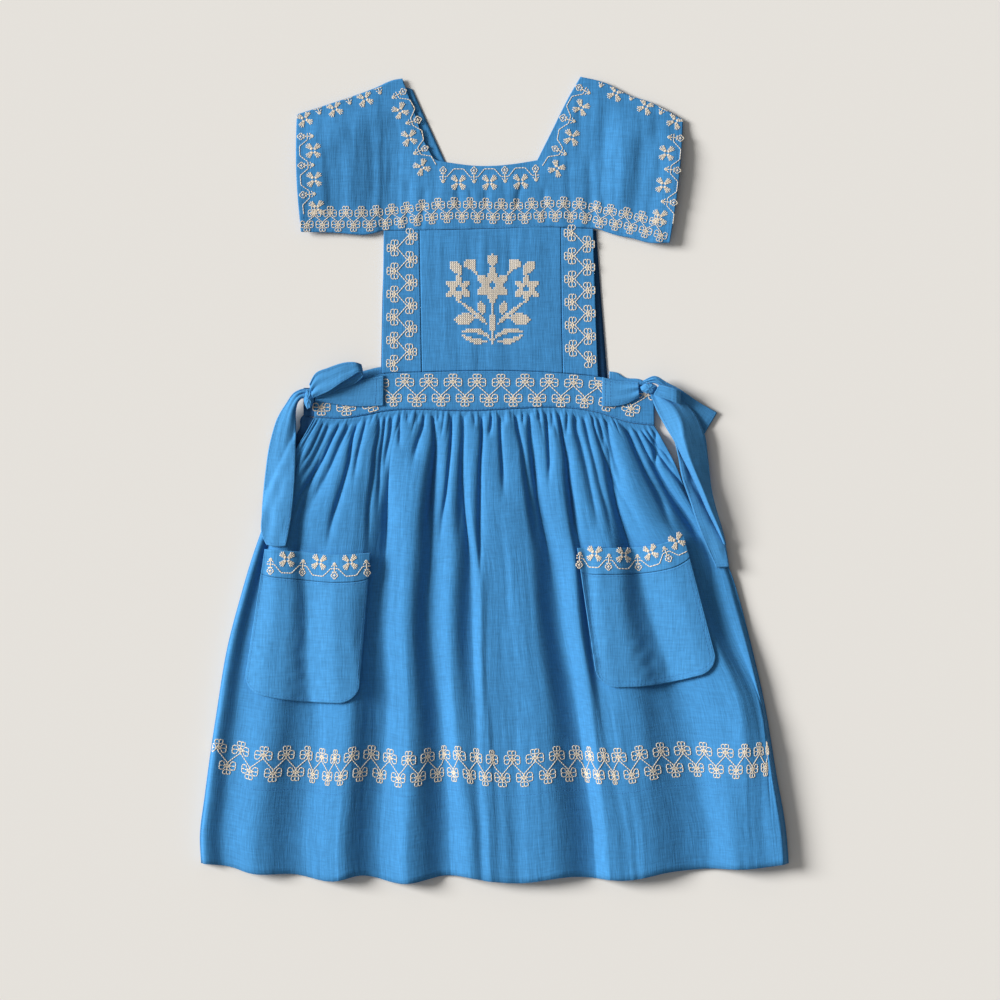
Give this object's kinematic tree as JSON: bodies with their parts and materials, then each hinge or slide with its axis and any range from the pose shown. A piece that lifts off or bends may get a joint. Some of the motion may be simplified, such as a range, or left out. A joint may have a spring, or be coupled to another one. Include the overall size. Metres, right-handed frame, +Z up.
{
  "type": "pinafore dress",
  "caption": "Child's cotton pinafore dress laid flat on its back, with short wide sleeves, a bib, a gathered skirt, patch pockets and side ties in bows.",
  "frame": {"origin": "middle of the laid-out dress in plan, on the surface that it rests on", "axes": "+Y from the hem towards the shoulders, +Z up from the surface through the back to the front, +X to the right as seen from above"},
  "size_m": [0.4824, 0.661, 0.0168],
  "materials": {
    "cloth": "matte plain weave",
    "tie": "matte plain weave"
  },
  "bodies": {
    "root": {"front_yoke": "cloth", "back_yoke": "cloth", "bib_panel": "cloth", "bib_band_left": "cloth", "bib_band_right": "cloth", "back_bib": "cloth", "front_waistband": "cloth", "back_waistband": "cloth", "front_skirt": "cloth", "back_skirt": "cloth", "pocket_left": "cloth", "pocket_right": "cloth", "pocket_band_left": "cloth", "pocket_band_right": "cloth", "tie_left_strap": "tie", "tie_left_knot": "tie", "tie_left_loop": "tie", "tie_left_tail": "tie", "tie_left_back": "tie", "tie_right_strap": "tie", "tie_right_knot": "tie", "tie_right_loop": "tie", "tie_right_flap": "tie", "tie_right_tail_upper": "tie", "tie_right_tail_lower": "tie", "tie_right_back": "tie"}
  },
  "joints": []
}
